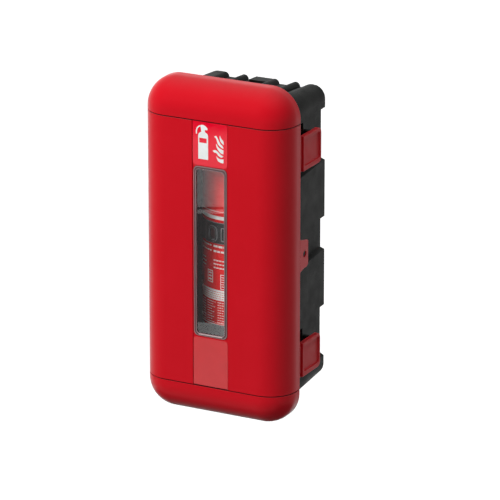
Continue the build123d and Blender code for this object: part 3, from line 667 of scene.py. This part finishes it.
for side, zc in (("upper", 285.0), ("lower", -285.0)):
    loops = [[(x, y, zc + dz) for x, y in door_path(inset)]
             for inset, dz in ((2.2, -1.15), (2.2, 1.15), (3.3, 1.15), (3.3, -1.15))]
    n = len(loops[0])
    faces = []
    for k in range(4):
        m = (k + 1) % 4
        faces += [(k * n + i, k * n + i + 1, m * n + i + 1, m * n + i) for i in range(n - 1)]
    faces += [(0, n, 2 * n, 3 * n), (3 * n + n - 1, 2 * n + n - 1, n + n - 1, n - 1)]
    gk = mesh_piece("seam_shade_strip_" + side, [v for loop in loops for v in loop], faces, shade_strip, "door", False)
    bm = bmesh.new()
    bm.from_mesh(gk.data)
    bmesh.ops.recalc_face_normals(bm, faces=bm.faces[:])
    bm.to_mesh(gk.data)
    bm.free()

SIGN_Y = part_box("sign_plate")[0][1] / MM


def on_sign(u, v, h):
    return (u, SIGN_Y + 0.02 - h, v)


def stroke(points, width):
    """Closed outline of a band of even width along a list of points."""
    left, right = [], []
    n = len(points)
    for i, p in enumerate(points):
        a, b = Vector(points[max(i - 1, 0)]), Vector(points[min(i + 1, n - 1)])
        d = (b - a).normalized()
        o = Vector((-d.y, d.x)) * width / 2
        left.append((p[0] + o.x, p[1] + o.y))
        right.append((p[0] - o.x, p[1] - o.y))
    return left + right[::-1]


def arc(cx, cy, rx, ry, a0, a1, n=14):
    return [(cx + rx * math.cos(math.radians(a0 + (a1 - a0) * i / n)), cy + ry * math.sin(math.radians(a0 + (a1 - a0) * i / n)))
            for i in range(n + 1)]


# extinguisher symbol: body with shoulders, head with its handle, and the hose as a separate band
body_sym = smooth_outline([
    (-26.8, 205, 1), (-4.2, 205, 1), (-4.2, 254.6, 1), (-5.6, 258.6), (-9.0, 261.2), (-11.4, 262.6, 1), (-11.4, 267.4, 1),
    (-6.4, 267.2, 1), (-5.4, 269.6), (-7.0, 272.6), (-11.2, 275.8), (-15.4, 277.3), (-19.4, 276.9), (-21.6, 275.4, 1),
    (-19.6, 262.6, 1), (-22.0, 261.2), (-25.4, 258.6), (-26.8, 254.6, 1),
])
hose_sym = stroke(arc(-20.6, 261.0, 10.4, 13.6, 196, 96, 18), 2.6)
print_piece("sign_symbol_extinguisher", [body_sym], on_sign, sign_white, "door", 0.22)
print_piece("sign_symbol_hose", [hose_sym], on_sign, sign_white, "door", 0.2)
print_piece("sign_symbol_band", [rect(-24.4, -7.4, 239.6, 249.6)], on_sign, sign, "door", 0.3)


def tongue(*pts):
    return smooth_outline(list(pts), 8)


flames = [
    tongue((22.9, 260.4, 1), (25.6, 254.6), (30.4, 249.6), (31.4, 245.0), (31.9, 241.6, 1), (27.4, 244.2), (23.6, 249.0),
           (22.2, 255.0)),
    tongue((9.6, 256.0, 1), (14.2, 258.3), (18.6, 252.2), (23.2, 243.6), (27.8, 239.8), (30.4, 235.9), (30.5, 233.6, 1),
           (26.4, 234.8), (22.6, 237.4), (18.0, 242.2), (15.4, 249.4), (13.6, 253.2)),
    tongue((14.5, 242.5, 1), (18.0, 236.4), (23.8, 232.4), (30.8, 230.2, 1), (30.8, 221.7, 1), (25.2, 223.2), (20.4, 227.0),
           (16.0, 233.0), (14.4, 238.2)),
    tongue((6.2, 226.0, 1), (10.4, 228.2), (14.6, 227.6), (19.6, 224.0), (25.2, 219.6), (30.8, 217.2, 1), (26.0, 214.4),
           (19.2, 217.2), (14.6, 222.4), (10.4, 222.8)),
    tongue((14.2, 216.2, 1), (18.2, 212.4), (24.2, 210.4), (30.8, 211.2, 1), (30.8, 202.7, 1), (24.8, 203.1), (18.8, 205.6),
           (16.4, 210.0)),
]
print_piece("sign_symbol_flames", flames, on_sign, sign_white, "door", 0.22)


def print_bars(name, bars, to3d, mat, body, thick=0.14, step=3.0):
    """Thin raised rectangles that follow a curved surface; u is measured along it."""
    bm = bmesh.new()
    for u0, u1, v0, v1 in bars:
        n = max(1, int(math.ceil((u1 - u0) / step)))
        lo = [bm.verts.new((u0 + (u1 - u0) * i / n, v0, 0)) for i in range(n + 1)]
        hi = [bm.verts.new((u0 + (u1 - u0) * i / n, v1, 0)) for i in range(n + 1)]
        for i in range(n):
            bm.faces.new((lo[i], lo[i + 1], hi[i + 1], hi[i]))
    ext = bmesh.ops.extrude_face_region(bm, geom=bm.faces[:])
    for e in ext["geom"]:
        if isinstance(e, bmesh.types.BMVert):
            e.co.z = thick
    for v in bm.verts:
        v.co = Vector(to3d(*v.co)) * MM
    bmesh.ops.recalc_face_normals(bm, faces=bm.faces[:])
    me = bpy.data.meshes.new(name)
    bm.to_mesh(me)
    bm.free()
    me.materials.append(mat.m)
    ob = bpy.data.objects.new(name, me)
    SC.collection.objects.link(ob)
    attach(ob, body)
    return ob


# ---- print on the bottle: bands, rows of plain bars and two plain boxes; no letters
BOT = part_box("extinguisher_cylinder")
BR = (BOT[1][0] - BOT[0][0]) / 2 / MM
BY = (BOT[0][1] + BOT[1][1]) / 2 / MM


def on_bottle(u, v, h):
    a = u / BR
    r = BR - 0.06 + h
    return (r * math.sin(a), BY - r * math.cos(a), v)


def arc_u(x):
    return BR * math.asin(x / BR)


def words(u0, u1, v0, v1, seed, gap=1.6, lo=2.6, hi=8.0):
    """A row of short bars that stands for a line of print."""
    out = []
    u = u0
    k = seed
    while u < u1 - 1.5:
        k = (k * 1103515245 + 12345) % 2147483648
        w = lo + (hi - lo) * (k / 2147483648.0)
        e = min(u + w, u1)
        out.append((u, e, v0, v1))
        u = e + gap
    return out


LAB = 96.0
LEFT = -63.0
print_bars("bottle_print_bands", [
    (LEFT, LAB, 79.4, 80.4), (LEFT, LAB, 62.7, 70.2), (LEFT, LAB, -112.0, -89.5), (LEFT, LAB, -166.2, -164.8),
    (LAB - 0.9, LAB, -164.8, -112.0), (LAB - 0.9, LAB, -89.5, 62.7),
], on_bottle, enamel_white, "case")
rows = []
for i, (v0, v1) in enumerate(((2.4, 6.6), (-8.4, -4.4))):
    rows += words(LEFT + 2, arc_u(-26), v0 + 0.6, v1 - 0.6, 11 + i, 2.0, 5.0, 11.0)
    rows += words(arc_u(-20), arc_u(13), v0, v1, 31 + i, 2.0, 5.0, 11.0)
    rows += words(20, 88, v0, v1, 51 + i, 2.0, 5.0, 11.0)
for i, v in enumerate((-26.0, -34.0, -42.0)):
    rows += words(arc_u(-20), arc_u(13), v - 1.3, v + 1.3, 71 + i)
    rows += words(LEFT + 2, arc_u(-42), v - 1.0, v + 1.0, 81 + i)
    rows += words(24, 86, v - 1.3, v + 1.3, 91 + i)
print_bars("bottle_print_rows", rows, on_bottle, enamel_white, "case")
fine = []
v = -117.0
i = 0
while v > -162.0:
    fine += words(arc_u(-38), arc_u(-15) - (7 * i) % 13, v - 0.65, v + 0.65, 101 + i, 1.4, 1.6, 5.0)
    fine += words(arc_u(-10), arc_u(12) - (5 * i) % 11, v - 0.7, v + 0.7, 131 + i, 1.4, 1.6, 5.0)
    fine += words(LEFT + 2, arc_u(-44), v - 0.6, v + 0.6, 161 + i, 1.6, 1.6, 4.0)
    fine += words(20, 86, v - 0.9, v + 0.9, 191 + i, 1.2, 1.6, 5.0)
    v -= 5.5
    i += 1
print_bars("bottle_print_fine", fine, on_bottle, enamel_white, "case")
x0, x1 = arc_u(-37), arc_u(-22)
panel = [(x0, x1, -51.6, -49.4), (x0, x1, -76.0, -73.8), (x0, x0 + 2.0, -73.8, -51.6), (x1 - 2.0, x1, -73.8, -51.6),
         (x0 + 4.0, x1 - 4.0, -57.5, -54.0), (x0 + 4.0, x1 - 4.0, -64.0, -60.5), (x0 + 4.0, x1 - 4.0, -71.0, -67.0)]
print_bars("bottle_print_panel", panel, on_bottle, enamel_white, "case")
x0, x1 = arc_u(-3), arc_u(9)
box_lines = [(x0, x1, -56.2, -55.0), (x0, x1, -87.0, -85.8), (x0, x0 + 1.2, -85.8, -56.2), (x1 - 1.2, x1, -85.8, -56.2)]
for i, v in enumerate((-61, -66, -71, -76, -81)):
    box_lines += words(x0 + 2.6, x1 - 2.2, v - 0.9, v + 0.9, 221 + i, 1.0, 1.4, 4.0)
print_bars("bottle_print_box", box_lines, on_bottle, enamel_white, "case")
marks = []
for i, v in enumerate((-94.5, -99.0, -103.5, -108.0)):
    marks += words(LEFT + 4, LAB - 5, v - 0.7, v + 0.7, 241 + i, 1.6, 1.8, 6.0)
print_bars("bottle_print_marks", marks, on_bottle, paint, "case", 0.22)

# ---- end of the strap, tucked behind the eye of the buckle
EYE_A = BR * math.asin(-19.0 / BR)
print_bars("strap_tail", [(EYE_A - 9.5, EYE_A + 9.5, 18.0, 48.0)], on_bottle, tail, "case", 1.6, 2.4)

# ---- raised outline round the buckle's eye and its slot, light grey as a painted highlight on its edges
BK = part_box("strap_buckle")
BKR = BY - BK[0][1] / MM


def on_buckle(u, v, h):
    a = u / BKR
    r = BKR - 2.0 + h
    return (r * math.sin(a), BY - r * math.cos(a), v)


def capsule(cx, cz, w, hgt, n=10):
    r = w / 2
    out = []
    for sz, a0 in ((1, 0), (-1, 180)):
        for k in range(n + 1):
            a = math.radians(a0 + 180 * k / n)
            out.append((cx + r * math.cos(a), cz + sz * (hgt / 2 - r) + r * math.sin(a)))
    return out


EYE_U = BKR * math.asin(-19.0 / BKR)
ring_piece("buckle_eye_lip", capsule(EYE_U, 33, 21.6, 33.6), capsule(EYE_U, 33, 19.2, 31.2), on_buckle, buckle_lip, "case",
           1.6, 2.3)
ring_piece("buckle_eye_inner_lip", capsule(EYE_U, 33, 16.6, 28.6), capsule(EYE_U, 33, 14.8, 26.8), on_buckle, buckle_lip, "case",
           1.6, 2.3)
ring_piece("buckle_slot_lip", rounded(1.0, 9.0, 18.0, 48.0, 2.6), rounded(2.3, 7.7, 19.4, 46.6, 1.6), on_buckle, buckle_lip, "case",
           -0.2, 0.6)

# ---- pressure gauge: bezel, white dial, coloured arcs, ticks, needle and a domed lens
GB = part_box("pressure_gauge")
GX = (GB[0][0] + GB[1][0]) / 2 / MM
GZ = (GB[0][2] + GB[1][2]) / 2 / MM
GY = GB[0][1] / MM


def turned(name, profile, to3d, mat, body, n=48, smooth=True):
    """Closed body of revolution: profile is a list of (radius, height) from axis to axis."""
    verts, faces = [], []
    ring = []
    for r, h in profile:
        if r < 1e-6:
            verts.append(to3d(0.0, 0.0, h))
            ring.append([len(verts) - 1])
        else:
            base = len(verts)
            for i in range(n):
                a = 2 * math.pi * i / n
                verts.append(to3d(r * math.cos(a), r * math.sin(a), h))
            ring.append(list(range(base, base + n)))
    for a, b in zip(ring, ring[1:]):
        for i in range(n):
            j = (i + 1) % n
            if len(a) == 1:
                faces.append((a[0], b[i], b[j]))
            elif len(b) == 1:
                faces.append((a[i], b[0], a[j]))
            else:
                faces.append((a[i], b[i], b[j], a[j]))
    if len(ring[0]) > 1 and len(ring[-1]) > 1:
        a, b = ring[-1], ring[0]
        for i in range(n):
            j = (i + 1) % n
            faces.append((a[i], b[i], b[j], a[j]))
    ob = mesh_piece(name, verts, faces, mat, body, smooth)
    bm = bmesh.new()
    bm.from_mesh(ob.data)
    bmesh.ops.recalc_face_normals(bm, faces=bm.faces[:])
    for e in bm.edges:
        if len(e.link_faces) == 2 and e.calc_face_angle(0.0) > 0.6:
            e.smooth = False
    bm.to_mesh(ob.data)
    bm.free()
    return ob


def on_gauge(u, v, h):
    return (GX + u, GY + 1.1 - h, GZ + v)


turned("gauge_dial", [(0, -1.6), (12.6, -1.6), (12.6, 0.16), (12.2, 0.22), (0, 0.22)], on_gauge, enamel_white, "case")
turned("gauge_bezel", [(13.6, -0.4), (14.6, -0.4), (14.6, 0.5), (14.2, 0.95), (13.2, 1.0), (12.4, 0.6), (12.4, -0.1), (13.6, -0.1)],
       on_gauge, chrome, "case")
print_piece("gauge_arc_green", [stroke(arc(0, 0, 9.6, 9.6, 128, 52, 16), 3.0)], lambda u, v, h: on_gauge(u, v, h + 0.16), dial_green,
            "case", 0.12)
print_piece("gauge_arc_red", [stroke(arc(0, 0, 9.6, 9.6, 205, 132, 16), 3.0), stroke(arc(0, 0, 9.6, 9.6, 48, -25, 16), 3.0)],
            lambda u, v, h: on_gauge(u, v, h + 0.16), sign, "case", 0.12)
ticks = []
for k in range(11):
    a = math.radians(205 - 23 * k)
    c, sn = math.cos(a), math.sin(a)
    ticks.append([(c * r - sn * w, sn * r + c * w) for r, w in ((5.8, -0.2), (7.4, -0.2), (7.4, 0.2), (5.8, 0.2))])
print_piece("gauge_ticks", ticks, lambda u, v, h: on_gauge(u, v, h + 0.16), enamel, "case", 0.12)
print_piece("gauge_needle", [[(-0.9, -3.0), (0.9, -3.0), (0.55, 0), (0.22, 8.6), (-0.22, 8.6), (-0.55, 0)]],
            lambda u, v, h: on_gauge(u * 0.985 - v * 0.17, u * 0.17 + v * 0.985, h + 0.34), enamel, "case", 0.14)
turned("gauge_hub", [(0, 0.1), (1.5, 0.1), (1.5, 0.62), (1.1, 0.86), (0, 0.9)], on_gauge, chrome, "case", 24)

# ------------------------------------------------------------------ end
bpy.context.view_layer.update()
